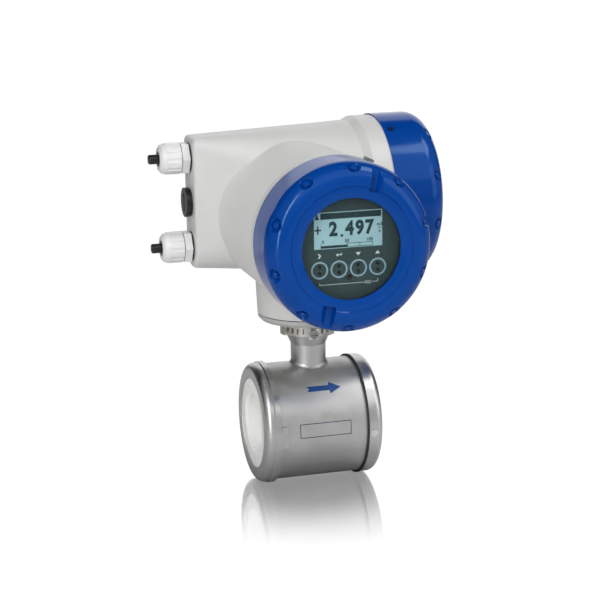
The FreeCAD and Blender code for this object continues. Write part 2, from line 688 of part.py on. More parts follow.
def earth_turn():
    """Direction of the earth terminal."""
    return Rotation(Vector(0, 0, 1), size("earth_angle")).multiply(TO_FRONT)


def make_earth_lug():
    """Clamp of the earth terminal on the front of the ribbed ring."""
    body = new_body("earth_clamp", earth_turn())
    low = CROWN_TOP + " - crown_plate - earth_lug_height"
    half = "earth_lug_width / 2"
    high = low + " + earth_lug_height"
    plate = rectangle(body, "XY_Plane", "-(%s)" % half, half, low, high, "crown_radius")
    padded(body, plate, "earth_lug_plate")
    return body


def make_earth_screw():
    """Cross-recess screw of the earth terminal."""
    body = new_body("earth_screw", earth_turn())
    middle = CROWN_TOP + " - crown_plate - earth_lug_height / 2"
    head = circles(body, "XY_Plane", [("0", middle, "earth_screw_radius")], "crown_radius + earth_lug_plate")
    padded(body, head, "earth_screw_head")
    half, reach = "earth_screw_slot / 2", "earth_screw_reach"
    top = "crown_radius + earth_lug_plate + earth_screw_head"
    for wide, high in ((half, reach), (reach, half)):
        low, rise = middle + " - " + high, middle + " + " + high
        bar = rectangle(body, "XY_Plane", "-(%s)" % wide, wide, low, rise, top)
        cut(body, bar, "earth_screw_deep")
    return body


def make_base_plate():
    """Flared base plate under the converter foot."""
    body = new_body("base_plate")
    flare = CROWN_TOP + " + base_flare"
    plate = outline(body, "XZ_Plane", [
        ("base_port", CROWN_TOP), ("base_foot_radius", CROWN_TOP),
        ("(base_foot_radius + base_radius) / 2", CROWN_TOP + " + base_flare / 2"),
        ("base_radius - base_bend", flare), ("base_radius", flare + " + base_bend"),
        ("base_radius", BASE_TOP), ("base_port", BASE_TOP)])
    turned(body, plate)
    return body


def make_base_gasket():
    """Dark gasket between base plate and converter foot."""
    body = new_body("base_gasket")
    seal = rectangle(body, "XZ_Plane", "base_port", "base_radius - gasket_inset", BASE_TOP, FOOT_LOW)
    turned(body, seal)
    return body


# ---------------------------------------------------------------- converter housing
def make_housing():
    """Cast housing: tapered body, skewed display drum, two collars, foot and its chambers."""
    body = new_body("converter_housing", at=("0", "0", "terminal_height"))
    far = "-end_reach"
    end_face = soft_rectangle(
        body, "YZ_Plane", "end_half_width", "-end_bottom", "end_top",
        "end_round_bottom", "end_round_top", far)
    waist = soft_rectangle(
        body, "YZ_Plane", "waist_radius", "-waist_radius", "waist_radius",
        "waist_radius - 0.5", "waist_radius - 0.5", "waist_reach")
    lofted(body, waist, end_face)
    soften(body, end_edges(body), "end_edge")
    collar = outline(body, "XZ_Plane", [
        ("0", "0"), ("0", "unit_bore"), ("waist_reach", "waist_radius"), ("collar_reach", "collar_radius"),
        ("terminal_seam", "collar_radius"), ("terminal_seam", "0")])
    turned(body, collar, axis="H_Axis")
    axis_height = "display_height - terminal_height"
    root_place = ("-drum_shift", axis_height + " + drum_lift", "drum_root_radius")
    root = circles(body, "XZ_Plane", [root_place], "drum_root")
    head = circles(body, "XZ_Plane", [("0", axis_height, "drum_radius")], "drum_head")
    lofted(body, root, head)
    start = circles(body, "XZ_Plane", [("0", axis_height, "drum_radius")], "drum_head")
    full = circles(body, "XZ_Plane", [("0", axis_height, "collar_radius")], "collar_start")
    lofted(body, start, full)
    ring = circles(body, "XZ_Plane", [("0", axis_height, "collar_radius")], "collar_start")
    padded(body, ring, "display_seam - collar_start")
    low = FOOT_LOW + " - terminal_height"
    foot = outline(body, "XZ_Plane", [
        ("0", low), ("foot_radius", low), ("foot_radius + foot_draft", low + " + foot_height"),
        ("foot_radius / 2", low + " + foot_height + foot_cap"), ("0", low + " + foot_height + foot_cap")])
    turned(body, foot)
    clear = "cover_radius + lock_stand + cover_relief"
    relief = circles(body, "YZ_Plane", [("0", "0", clear)], "terminal_seam")
    cut(body, relief, "cover_relief + drum_radius", reverse=True)
    thread = circles(body, "XZ_Plane", [("0", axis_height, "thread_bore")], "display_seam")
    cut(body, thread, "thread_depth")
    unit = circles(body, "XZ_Plane", [("0", axis_height, "unit_bore")], "display_seam")
    cut(body, unit, "display_seam - unit_bore_end")
    thread = circles(body, "YZ_Plane", [("0", "0", "thread_bore")], "terminal_seam")
    cut(body, thread, "thread_depth")
    chamber = soft_rectangle(
        body, "YZ_Plane", "chamber_half_width", "-chamber_bottom", "chamber_top",
        "chamber_round", "chamber_round", "terminal_seam")
    cut(body, chamber, "terminal_seam + chamber_step")
    mouths = []
    for half, at in (("chamber_half_width", "-chamber_step"), ("chamber_end_half", "end_wall - end_reach")):
        mouths.append(soft_rectangle(
            body, "YZ_Plane", half, "-chamber_bottom", "chamber_top", "chamber_round", "chamber_round", at))
    lofted(body, mouths[0], mouths[1], kind="SubtractiveLoft")
    entries = [("0", "entry_lift + %d * entry_pitch" % i, "entry_radius") for i in (-1, 0, 1)]
    cut(body, circles(body, "YZ_Plane", entries, far), "end_wall + cut_over", reverse=True)
    start = "unit_bore_end + cut_over"
    port = circles(body, "XZ_Plane", [("0", axis_height + " + wire_port_lift", "wire_port")], start)
    cut(body, port, start)
    throat = circles(body, "XY_Plane", [("0", "0", "base_port")], low)
    cut(body, throat, "terminal_height - (%s) - chamber_bottom + cut_over" % FOOT_LOW, reverse=True)
    return body


# ---------------------------------------------------------------- covers
def cover_base(name, turn, at, inner, depth):
    """Screwed cover: threaded spigot, skirt, rounded rim and stepped face."""
    body = new_body(name, turn, at)
    groove = "spigot_radius - 2 * oring_section - oring_clear"
    groove_low = "-2 * (oring_section + oring_clear) - oring_land"
    profile = outline(body, "XZ_Plane", [
        ("cover_cavity", "-spigot_length"), ("spigot_radius", "-spigot_length"),
        ("spigot_radius", groove_low), (groove, groove_low),
        (groove, "-oring_land"), ("spigot_radius", "-oring_land"),
        ("spigot_radius", "0"), ("cover_radius", "0"), ("cover_radius", depth),
        ("face_inner", depth), ("face_inner - face_bevel", depth + " - face_step"),
        ("face_ledge", depth + " - face_step")] + inner)
    turned(body, profile)
    rounded(body, size("cover_radius"), size(depth), "cover_round")
    return body


def cover_details(body, depth):
    """Grip knobs in their dimples on the rounded rim, and the two tool slots."""
    for side in (0, 180):
        cut(body, new_slot(body, side, depth), "slot_length", reverse=True)
    dimple = outline(body, "XZ_Plane", [
        on_rim("0", "grip_over", depth), on_rim("0", "-grip_top", depth),
        on_rim("grip_knob - grip_soft", "-grip_top", depth),
        on_rim("grip_knob", "-grip_top - grip_soft", depth),
        on_rim("grip_knob", "-grip_floor", depth), on_rim("grip_floor_radius", "-grip_floor", depth),
        on_rim("grip_pocket", "0", depth), on_rim("grip_pocket + grip_over", "grip_over", depth)])
    spin(dimple, "grip_first", Vector(0, 1, 0))
    before = body.Shape.Volume
    hollow = feature(body, "Groove", dimple)
    hollow.ReferenceAxis = (dimple, ["Edge1"])
    hollow.Angle = 360.0
    doc.recompute()
    if not body.Shape.Volume < before - 1e-3:
        raise ValueError("dimple in %s cuts nothing" % body.Label)
    ring_pattern(body, [hollow], "grip_count")


def on_rim(across, above, depth):
    """Point from a knob's middle on the rounded rim: across along the surface, above it."""
    lean = "((grip_circle - cover_radius + cover_round) / cover_round)"
    rise = "sqrt(1 - %s^2)" % lean
    x = "grip_circle + (%s) * %s + (%s) * %s" % (across, rise, above, lean)
    z = "%s - cover_round - (%s) * %s + (cover_round + %s) * %s" % (depth, across, lean, above, rise)
    return x, z


def new_slot(body, side, depth):
    """Section of a tool slot with a steep and a sloping side, seen from the middle of the cover."""
    low = depth + " - slot_depth"
    wide = "slot_shift + slot_width"
    sketch = outline(body, "YZ_Plane", [
        ("-slot_shift", low), ("-slot_shift", depth + " + slot_depth"),
        ("-(%s + 2 * slot_run)" % wide, depth + " + slot_depth"), ("-(%s)" % wide, low)])
    angle = "(slot_angle + %d)" % side
    spin(sketch, angle, Vector(0, 1, 0))
    sketch.setExpression("AttachmentOffset.Base.x", tied("slot_inner * sin(%s)" % angle))
    sketch.setExpression("AttachmentOffset.Base.z", tied("slot_inner * cos(%s)" % angle))
    return sketch


LIP_BACK = "cover_depth - face_step - face_slope - lip_thick"
GLASS_FRONT = LIP_BACK + " - glass_gasket"
GLASS_BACK = GLASS_FRONT + " - glass_thick"
DISPLAY_AT = ("0", "-display_seam", "display_height")
TERMINAL_AT = ("terminal_seam", "0", "terminal_height")


def make_display_cover():
    """Cover with the window opening and the boss that holds the glass."""
    seat = "glass_radius + glass_clear"
    boss_low = GLASS_BACK + " - glass_ring"
    inner = [
        ("window_radius", "cover_depth - face_step - face_slope"), ("window_radius", LIP_BACK),
        (seat, LIP_BACK), (seat, boss_low), (seat + " + boss_wall", boss_low),
        (seat + " + boss_wall", "cover_cavity_end"), ("cover_cavity", "cover_cavity_end")]
    body = cover_base("display_cover", TO_FRONT, DISPLAY_AT, inner, "cover_depth")
    cover_details(body, "cover_depth")
    return body


def make_terminal_cover():
    """Blind cover of the terminal compartment."""
    roof = "blind_depth - face_step - face_slope - blind_wall"
    inner = [
        ("window_radius", roof + " + blind_wall"), ("0", roof + " + blind_wall"), ("0", roof),
        ("blind_roof", roof), ("cover_cavity", "blind_cavity_end")]
    body = cover_base("terminal_cover", TO_OUTLET, TERMINAL_AT, inner, "blind_depth")
    cover_details(body, "blind_depth")
    hole = circles(body, "XZ_Plane", [("0", "lock_offset", "lock_radius")])
    spin(hole, "lock_angle", Vector(0, 1, 0))
    cut(body, hole, "cover_radius + cut_over")
    return body


def make_cover_seal(name, turn, at):
    """O-ring at the root of a cover's spigot."""
    body = new_body(name, turn, at)
    centre = "spigot_radius - oring_section"
    height = "-(oring_section + oring_clear) - oring_land"
    turned(body, circles(body, "XZ_Plane", [(centre, height, "oring_section")]))
    return body


def make_window_parts():
    """Glass, its gasket and the ring that holds it in the display cover."""
    gasket = new_body("window_gasket", TO_FRONT, DISPLAY_AT)
    inner = "window_radius + gasket_lip"
    turned(gasket, rectangle(gasket, "XZ_Plane", inner, "glass_radius", GLASS_FRONT, LIP_BACK))
    glass = new_body("display_window", TO_FRONT, DISPLAY_AT)
    padded(glass, circles(glass, "XY_Plane", [("0", "0", "glass_radius")], GLASS_BACK), "glass_thick")
    ring = new_body("window_ring", TO_FRONT, DISPLAY_AT)
    low = GLASS_BACK + " - glass_ring"
    inner, outer = "plate_radius + glass_ring_clear", "glass_radius + glass_clear"
    turned(ring, rectangle(ring, "XZ_Plane", inner, outer, low, GLASS_BACK))
    return [gasket, glass, ring]


def make_lock_screw():
    """Grub screw that locks the terminal cover."""
    body = new_body("terminal_lock_screw", UPRIGHT, TERMINAL_AT)
    height = "cover_radius - lock_depth + lock_stand"
    body.Placement = Placement(body.Placement.Base, Rotation(Vector(1, 0, 0), size("lock_angle")))
    body.setExpression("Placement.Rotation.Angle", tied("lock_angle"))
    padded(body, circles(body, "XY_Plane", [("lock_offset", "0", "lock_radius")], height), "lock_depth")
    return body


def make_lock_claw():
    """Claw that locks the display cover, screwed on the display collar."""
    body = new_body("display_lock_claw", UPRIGHT, ("0", "-display_seam", "display_height"))
    body.Placement = Placement(body.Placement.Base, Rotation(Vector(0, 1, 0), 90 - size("claw_angle")))
    body.setExpression("Placement.Rotation.Angle", tied("90 - claw_angle"))
    half = "claw_width / 2"
    block = rectangle(
        body, "XZ_Plane", "-(%s)" % half, half, "collar_radius", "collar_radius + claw_height",
        "-claw_length - claw_inset")
    padded(body, block, "claw_length")
    return body


# ---------------------------------------------------------------- electronics and display
def make_insert():
    """Electronics insert, seated on the step of the display collar."""
    body = new_body("electronics_insert", TO_FRONT, DISPLAY_AT)
    rear = "-(display_seam - unit_bore_end) + insert_end_clear"
    profile = outline(body, "XZ_Plane", [
        ("0", rear), ("insert_neck", rear), ("insert_neck", "-thread_depth"),
        ("insert_radius", "-thread_depth"), ("insert_radius", "insert_front"), ("0", "insert_front")])
    turned(body, profile)
    return body


def make_plate():
    """Display plate with the recess for the panel and the seats of the optical eyes."""
    body = new_body("display_plate", TO_FRONT, DISPLAY_AT)
    disc = circles(body, "XY_Plane", [("0", "0", "plate_radius")], "insert_front")
    padded(body, disc, "plate_front - insert_front")
    half = "lcd_width / 2 + lcd_panel_clear"
    rise = "lcd_height / 2 + lcd_panel_clear"
    recess = rectangle(
        body, "XY_Plane", "-(%s)" % half, half, "lcd_lift - (%s)" % rise, "lcd_lift + " + rise, "plate_front")
    cut(body, recess, "lcd_recess")
    cut(body, circles(body, "XY_Plane", eye_places(), "plate_front"), "eye_deep")
    return body


def key_places():
    """Sideways places of the keys, as expressions."""
    return ["(%d - (key_count - 1) / 2) * key_pitch" % i for i in range(int(size("key_count")))]


def eye_places():
    """Optical eyes: two for each key and one between the keys."""
    eyes = []
    for x in key_places():
        eyes.append((x, "-key_drop + eye_pitch / 2", "eye_radius"))
        eyes.append((x, "-key_drop - eye_pitch / 2", "eye_radius"))
    eyes.append(("light_eye_side", "-key_drop - light_eye_drop", "light_eye_radius"))
    return eyes


def make_display_parts():
    """Display panel, key rings and optical eyes on the plate."""
    panel = new_body("lcd_panel", TO_FRONT, DISPLAY_AT)
    half = "lcd_width / 2"
    low = "lcd_lift - lcd_height / 2"
    back = "plate_front - lcd_recess"
    face = rectangle(panel, "XY_Plane", "-(%s)" % half, half, low, low + " + lcd_height", back)
    padded(panel, face, "lcd_recess - lcd_sink")
    parts = [panel]
    for i, x in enumerate(key_places(), start=1):
        ring = new_body("key_ring_%d" % i, TO_FRONT, DISPLAY_AT)
        rings = [(x, "-key_drop", "key_radius"), (x, "-key_drop", "key_radius - key_ring_wall")]
        padded(ring, circles(ring, "XY_Plane", rings, "plate_front"), "key_stand")
        parts.append(ring)
    parts.append(make_eyes())
    return parts


def make_eyes():
    """Optical eyes as one group."""
    eyes = []
    for i, (x, y, radius) in enumerate(eye_places(), start=1):
        eye = doc.addObject("Part::Cylinder", "eye_%d" % i)
        eye.setExpression("Radius", tied(radius))
        eye.setExpression("Height", tied("eye_deep + eye_stand"))
        eye.Placement = Placement(Vector(0, 0, 0), TO_FRONT)
        eye.setExpression("Placement.Base.x", tied(x))
        eye.setExpression("Placement.Base.y", tied("-(display_seam + plate_front - eye_deep)"))
        eye.setExpression("Placement.Base.z", tied("display_height + " + y))
        eyes.append(eye)
    group = doc.addObject("Part::Compound", "optical_eyes")
    group.Label = "optical_eyes"
    group.Links = eyes
    return group


# ---------------------------------------------------------------- terminals
BOARD_LOW = "-thread_depth"
BOARD_TOP = "-thread_depth + board_thick"


def make_terminals():
    """Terminal board on the step of the collar, two blocks and their clamp screws."""
    board = new_body("terminal_board", TO_OUTLET, TERMINAL_AT)
    top = "board_low + board_height"
    side = "sqrt((cover_cavity - board_clear)^2 - (%s)^2)" % top
    sketch = rectangle(board, "XY_Plane", "-(%s)" % side, side, "board_low", top, BOARD_LOW)
    padded(board, sketch, "board_thick")
    parts = [board]
    for name, side in (("terminal_block_front", "-"), ("terminal_block_back", "")):
        block = new_body(name, TO_OUTLET, TERMINAL_AT)
        middle = side + "block_offset"
        centre = "board_low + board_height / 2"
        length = "block_length / 2"
        base = rectangle(
            block, "XY_Plane", middle + " - block_width / 2", middle + " + block_width / 2",
            centre + " - " + length, centre + " + " + length, BOARD_TOP)
        padded(block, base, "block_height")
        parts.append(block)
    screws = []
    for side in (-1, 1):
        for i in range(int(size("clamp_count"))):
            screw = doc.addObject("Part::Cylinder", "clamp_%d_%d" % (side + 2, i))
            screw.setExpression("Radius", tied("clamp_radius"))
            screw.setExpression("Height", tied("clamp_stand"))
            screw.Placement = Placement(Vector(0, 0, 0), TO_OUTLET)
            screw.setExpression("Placement.Base.x", tied("terminal_seam + %s + block_height" % BOARD_TOP))
            screw.setExpression("Placement.Base.y", tied("%d * block_offset" % side))
            offset = "(%d - (clamp_count - 1) / 2) * clamp_pitch" % i
            centre = "terminal_height + board_low + board_height / 2"
            screw.setExpression("Placement.Base.z", tied(centre + " + " + offset))
            screws.append(screw)
    group = doc.addObject("Part::Compound", "clamp_screws")
    group.Label = "clamp_screws"
    group.Links = screws
    return parts + [group]


# ---------------------------------------------------------------- cable entries
def entry_at(step):
    """Place of a cable entry on the end face."""
    return ("-end_reach", "0", "terminal_height + entry_lift + %d * entry_pitch" % step)


def make_gland(tag, step):
    """Cable gland: washer, body, sealing insert, dome nut and sealing pin."""
    at = entry_at(step)
    washer = new_body("gland_washer_" + tag, TO_INLET, at)
    turned(washer, rectangle(washer, "XZ_Plane", "thread_radius", "gland_washer_radius", "0", "gland_washer"))

    body = new_body("gland_body_" + tag, TO_INLET, at)
    hexagon_pad(body, "gland_flats", "gland_washer", "gland_flange")
    flange_top = "gland_washer + gland_flange"
    stem_top = flange_top + " + gland_stem_length"
    padded(body, circles(body, "XY_Plane", [("0", "0", "gland_stem")], flange_top), "gland_stem_length")
    spigot = circles(body, "XY_Plane", [("0", "0", "thread_radius")], "-gland_spigot")
    padded(body, spigot, "gland_spigot + gland_washer")
    cut(body, circles(body, "XY_Plane", [("0", "0", "gland_bore")], stem_top),
        "gland_spigot + %s" % stem_top)

    nut = new_body("gland_nut_" + tag, TO_INLET, at)
    low = flange_top + " + nut_gap"
    top = low + " + nut_length"
    profile = outline(nut, "XZ_Plane", [
        ("nut_bore", low), ("nut_radius", low), ("nut_radius", top + " - nut_dome"),
        ("nut_radius - nut_soft", top + " - nut_dome / 3"), ("nut_radius - nut_slope", top),
        ("nut_mouth", top),
        ("nut_mouth", top + " - nut_lip"), ("nut_bore", top + " - nut_lip - nut_seat")])
    turned(nut, profile)
    flute = circles(nut, "XY_Plane", [("nut_radius + flute_radius - flute_depth", "0", "flute_radius")], low)
    groove = cut(nut, flute, "nut_length - nut_dome", reverse=True)
    ring_pattern(nut, [groove], "nut_flutes")

    insert = new_body("gland_insert_" + tag, TO_INLET, at)
    seal_low = flange_top + " + nut_gap"
    inner = "pin_radius + pin_clear"
    sleeve = "gland_bore - insert_clear"
    collar = "nut_bore - insert_clear - insert_play"
    head_low = stem_top + " + insert_clear"
    seal = outline(insert, "XZ_Plane", [
        (inner, seal_low), (sleeve, seal_low), (sleeve, head_low), (collar, head_low),
        (collar, top + " - nut_lip - nut_seat - insert_clear"),
        ("nut_mouth - insert_clear", top + " - nut_lip - insert_clear"),
        ("nut_mouth - insert_clear", top + " - insert_sink"), (inner, top + " - insert_sink")])
    turned(insert, seal)

    pin = new_body("sealing_pin_" + tag, TO_INLET, at)
    pin_low = top + " - pin_inside"
    padded(pin, circles(pin, "XY_Plane", [("0", "0", "pin_radius")], pin_low), "pin_inside + pin_stand")
    stack = ("gland_washer", "gland_flange", "nut_gap", "nut_length", "pin_stand")
    rounded(pin, size("pin_radius"), sum(size(name) for name in stack), "pin_round")
    return [washer, body, nut, insert, pin]


def hexagon_pad(body, flats, low, length):
    """Hexagonal prism of a width across flats."""
    corner = "(%s) / 2 / cos(30)" % flats
    points = [("%s * cos(%d)" % (corner, a), "%s * sin(%d)" % (corner, a)) for a in range(0, 360, 60)]
    padded(body, outline(body, "XY_Plane", points, low), length)


def make_blank():
    """Blanking plug of the middle entry with its O-ring."""
    at = entry_at(0)
    plug = new_body("blanking_plug", TO_INLET, at)
    low = "2 * (blank_seal + blank_clear)"
    groove = "thread_radius - blank_groove"
    profile = outline(plug, "XZ_Plane", [
        ("0", "-blank_spigot"), ("thread_radius", "-blank_spigot"), ("thread_radius", "blank_clear"),
        (groove, "blank_clear"), (groove, low + " + 2 * blank_clear"),
        ("blank_radius", low + " + 2 * blank_clear"),
        ("blank_radius", low + " + blank_thick"), ("0", low + " + blank_thick")])
    turned(plug, profile)
    half = "blank_slot / 2"
    reach = "blank_slot_reach"
    slot = rectangle(plug, "XY_Plane", "-(%s)" % half, half, "-(%s)" % reach, reach, low + " + blank_thick")
    cut(plug, slot, "blank_slot_depth")
    seal = new_body("blanking_plug_seal", TO_INLET, at)
    centre = "thread_radius + blank_seal + 3 * blank_clear"
    turned(seal, circles(seal, "XZ_Plane", [(centre, "blank_seal + blank_clear", "blank_seal")]))
    return [plug, seal]


# ---------------------------------------------------------------- assembly
nodes = [
    make_sensor_housing(),
    make_end_ring("inlet_ring", TO_INLET),
    make_end_ring("outlet_ring", TO_OUTLET),
    make_ring_seal("inlet_ring_seal", TO_INLET, SHELL_BORE + " + ring_seal_wall"),
    make_ring_seal("outlet_ring_seal", TO_OUTLET, "shell_radius + ring_seal_stand"),
    make_ceramic_tube(),
    make_electrode("electrode_front", TO_FRONT),
    make_electrode("electrode_back", Rotation(Vector(1, 0, 0), -90)),
    make_coil("field_coil_upper", UPRIGHT),
    make_coil("field_coil_lower", Rotation(Vector(1, 0, 0), 180)),
    make_core("pole_core_upper", UPRIGHT),
    make_core("pole_core_lower", Rotation(Vector(1, 0, 0), 180)),
    make_yoke(),
    make_ring_screw(),
    make_locating_tab(),
    make_crown(),
    make_earth_lug(),
    make_earth_screw(),
    make_base_plate(),
    make_base_gasket(),
    make_housing(),
    make_display_cover(),
    make_terminal_cover(),
    make_cover_seal("display_cover_seal", TO_FRONT, DISPLAY_AT),
    make_cover_seal("terminal_cover_seal", TO_OUTLET, TERMINAL_AT),
    make_lock_screw(),
    make_lock_claw(),
    make_insert(),
    make_plate(),
]
nodes += make_window_parts()
nodes += make_display_parts()
nodes += make_terminals()
nodes += make_gland("upper", 1)
nodes += make_gland("lower", -1)
nodes += make_blank()

# ---------------------------------------------------------------- check and export
doc.recompute()
for item in doc.Objects:
    if "Invalid" in item.State or "Error" in item.State:
        raise ValueError("%s failed: %s" % (item.Label, item.State))
for node in nodes:
    if node.Shape.isNull() or not node.Shape.isValid():
        raise ValueError("%s has no valid shape" % node.Label)
os.makedirs("parts", exist_ok=True)
for node in nodes:
    node.Shape.exportStep(os.path.join("parts", node.Label + ".step"))
    box = node.Shape.BoundBox
    print("%-24s %d solids %10.1f mm3  x %.1f %.1f  y %.1f %.1f  z %.1f %.1f" % (
        node.Label, len(node.Shape.Solids), node.Shape.Volume,
        box.XMin, box.XMax, box.YMin, box.YMax, box.ZMin, box.ZMax))
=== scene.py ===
"""Looks of the electromagnetic flow meter: paint, blasted steel, ceramic, glass and display."""
import bpy
import bmesh
import math
from mathutils import Matrix, Vector


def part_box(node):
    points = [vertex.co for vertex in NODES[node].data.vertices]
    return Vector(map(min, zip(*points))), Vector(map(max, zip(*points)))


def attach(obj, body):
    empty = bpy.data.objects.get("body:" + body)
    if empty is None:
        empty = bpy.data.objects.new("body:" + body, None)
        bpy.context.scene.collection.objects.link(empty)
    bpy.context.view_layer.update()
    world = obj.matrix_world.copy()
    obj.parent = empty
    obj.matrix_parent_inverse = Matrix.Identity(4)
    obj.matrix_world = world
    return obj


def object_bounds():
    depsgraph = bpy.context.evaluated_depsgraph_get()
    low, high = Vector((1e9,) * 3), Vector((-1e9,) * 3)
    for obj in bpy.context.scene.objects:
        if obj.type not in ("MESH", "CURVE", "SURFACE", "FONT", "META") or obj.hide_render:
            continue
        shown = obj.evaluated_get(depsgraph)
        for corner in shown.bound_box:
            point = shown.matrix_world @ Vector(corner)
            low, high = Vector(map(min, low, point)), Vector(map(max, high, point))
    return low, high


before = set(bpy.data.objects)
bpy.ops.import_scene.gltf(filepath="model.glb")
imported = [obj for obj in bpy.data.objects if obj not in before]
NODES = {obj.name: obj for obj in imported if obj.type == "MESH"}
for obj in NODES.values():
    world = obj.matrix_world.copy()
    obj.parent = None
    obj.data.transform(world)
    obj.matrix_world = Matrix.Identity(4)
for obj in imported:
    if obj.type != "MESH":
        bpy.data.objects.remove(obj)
CAD_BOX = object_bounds()


# ---------------------------------------------------------------- shader nodes
def node_material(name, base, roughness, metallic=0.0):
    """Principled material with plain values; textures are linked to it afterwards."""
    material = bpy.data.materials.new(name)
    material.use_nodes = True
    tree = material.node_tree
    shader = tree.nodes["Principled BSDF"]
    shader.inputs["Base Color"].default_value = (*base, 1.0)
    shader.inputs["Roughness"].default_value = roughness
    shader.inputs["Metallic"].default_value = metallic
    return material, tree, shader


def noise(tree, scale, detail=2.0, stretch=(1, 1, 1)):
    """Noise in object coordinates, stretched along the axes."""
    place = tree.nodes.new("ShaderNodeTexCoord")
    mapping = tree.nodes.new("ShaderNodeMapping")
    mapping.inputs["Scale"].default_value = stretch
    texture = tree.nodes.new("ShaderNodeTexNoise")
    texture.inputs["Scale"].default_value = scale
    texture.inputs["Detail"].default_value = detail
    tree.links.new(place.outputs["Object"], mapping.inputs["Vector"])
    tree.links.new(mapping.outputs["Vector"], texture.inputs["Vector"])
    return texture.outputs["Fac"]


def spread(tree, value, start, end, reach=(0.3, 0.7), smooth=False):
    """Goes from start to end while the value runs over its reach."""
    ramp = tree.nodes.new("ShaderNodeMapRange")
    if smooth:
        ramp.interpolation_type = "SMOOTHSTEP"
    ramp.inputs["From Min"].default_value, ramp.inputs["From Max"].default_value = reach
    ramp.inputs["To Min"].default_value = start
    ramp.inputs["To Max"].default_value = end
    tree.links.new(value, ramp.inputs["Value"])
    return ramp.outputs["Result"]


def shade(tree, shader, value, low, high):
    """Base colour between two colours."""
    mix = tree.nodes.new("ShaderNodeMix")
    mix.data_type = "RGBA"
    mix.inputs["A"].default_value = (*low, 1.0)
    mix.inputs["B"].default_value = (*high, 1.0)
    tree.links.new(value, mix.inputs["Factor"])
    tree.links.new(mix.outputs["Result"], shader.inputs["Base Color"])


def tinted(colour, factor):
    """Colour made lighter or darker."""
    return tuple(min(1.0, c * factor) for c in colour)


def vary_tone(tree, shader, base, scale, dark, light, detail=2.0):
    """Base colour that drifts between a darker and a lighter tone of itself."""
    drift = spread(tree, noise(tree, scale, detail), 0.0, 1.0)
    shade(tree, shader, drift, tinted(base, dark), tinted(base, light))


def vary_roughness(tree, shader, roughness, scale, swing):
    """Roughness that drifts by a share of itself either way."""
    drift = spread(tree, noise(tree, scale), roughness * (1 - swing), roughness * (1 + swing))
    tree.links.new(drift, shader.inputs["Roughness"])


def bump(tree, shader, value, distance):
    """Small relief from a texture; the distance is in metres."""
    relief = tree.nodes.new("ShaderNodeBump")
    relief.inputs["Distance"].default_value = distance
    tree.links.new(value, relief.inputs["Height"])
    tree.links.new(relief.outputs["Normal"], shader.inputs["Normal"])


def glow(shader, base, strength):
    """Light that the surface gives off in its own colour; on a part that is no lamp it is a
    painted glow.
    """
    shader.inputs["Emission Color"].default_value = (*base, 1.0)
    shader.inputs["Emission Strength"].default_value = strength


def combine(tree, operation, first, second):
    """Math on two linked values."""
    node = tree.nodes.new("ShaderNodeMath")
    node.operation = operation
    tree.links.new(first, node.inputs[0])
    tree.links.new(second, node.inputs[1])
    return node.outputs["Value"]


def mix_shaders(tree, share, first, second):
    """First shader where the share is 0, second where it is 1."""
    mix = tree.nodes.new("ShaderNodeMixShader")
    tree.links.new(share, mix.inputs["Fac"])
    tree.links.new(first, mix.inputs[1])
    tree.links.new(second, mix.inputs[2])
    return mix.outputs["Shader"]


# ---------------------------------------------------------------- materials
# Texture scales are per metre, and relief is in metres.
TURNING_SCALE = 30.0
PEEL_SCALE, PEEL_RELIEF = 420.0, 0.00004
MOULD_SCALE, MOULD_RELIEF = 1500.0, 0.00002
PANE_SCALE, PANE_RELIEF = 12.0, 0.000004
FOIL_SCALE, FOIL_RELIEF = 3500.0, 0.000005
COAT_ROUGHNESS = 0.12
SOFT_DEPTH = 0.002                      # how far light goes into plastic or ceramic


def metal(name, base, roughness, grain=2600.0, lines=None, relief=0.00003):
    """Blasted or turned metal: soft patches, and fine grain or, if asked, turning lines."""
    material, tree, shader = node_material(name, base, roughness, metallic=1.0)
    vary_tone(tree, shader, base, scale=45.0, dark=0.93, light=1.05, detail=3.0)
    vary_roughness(tree, shader, roughness, scale=90.0, swing=0.15)
    if lines is None:
        bump(tree, shader, noise(tree, grain, detail=1.0), relief)
    else:
        bump(tree, shader, noise(tree, TURNING_SCALE, detail=4.0, stretch=lines), relief)
    return material


def paint(name, base, roughness, coat=0.0, sheen=(1, 1, 1), ior=1.5):
    """Powder coat: faint orange peel, slight tone and gloss variation."""
    material, tree, shader = node_material(name, base, roughness)
    vary_tone(tree, shader, base, scale=28.0, dark=0.97, light=1.03)
    vary_roughness(tree, shader, roughness, scale=160.0, swing=0.1)
    shader.inputs["Coat Weight"].default_value = coat
    shader.inputs["Coat Roughness"].default_value = COAT_ROUGHNESS
    shader.inputs["Specular Tint"].default_value = (*sheen, 1.0)
    shader.inputs["IOR"].default_value = ior
    bump(tree, shader, noise(tree, PEEL_SCALE), PEEL_RELIEF)
    return material


def plastic(name, base, roughness, soft=0.0, gloss=0.5, light=0.0):
    """Moulded plastic, rubber, ceramic or print with a fine mould grain, and a painted glow of
    the given strength.
    """
    material, tree, shader = node_material(name, base, roughness)
    vary_tone(tree, shader, base, scale=60.0, dark=0.95, light=1.05)
    vary_roughness(tree, shader, roughness, scale=300.0, swing=0.1)
    shader.inputs["Specular IOR Level"].default_value = gloss
    shader.inputs["Subsurface Weight"].default_value = soft
    shader.inputs["Subsurface Scale"].default_value = SOFT_DEPTH
    # painted glow: emission on a part that is no lamp
    glow(shader, base, light)
    bump(tree, shader, noise(tree, MOULD_SCALE, detail=1.0), MOULD_RELIEF)
    return material


def clear_glass(name, base, roughness, alpha, gloss):
    """Clear pane with a faint wave."""
    material, tree, shader = node_material(name, base, roughness)
    shader.inputs["Alpha"].default_value = alpha
    shader.inputs["Specular IOR Level"].default_value = gloss
    bump(tree, shader, noise(tree, PANE_SCALE, detail=1.0), PANE_RELIEF)
    return material


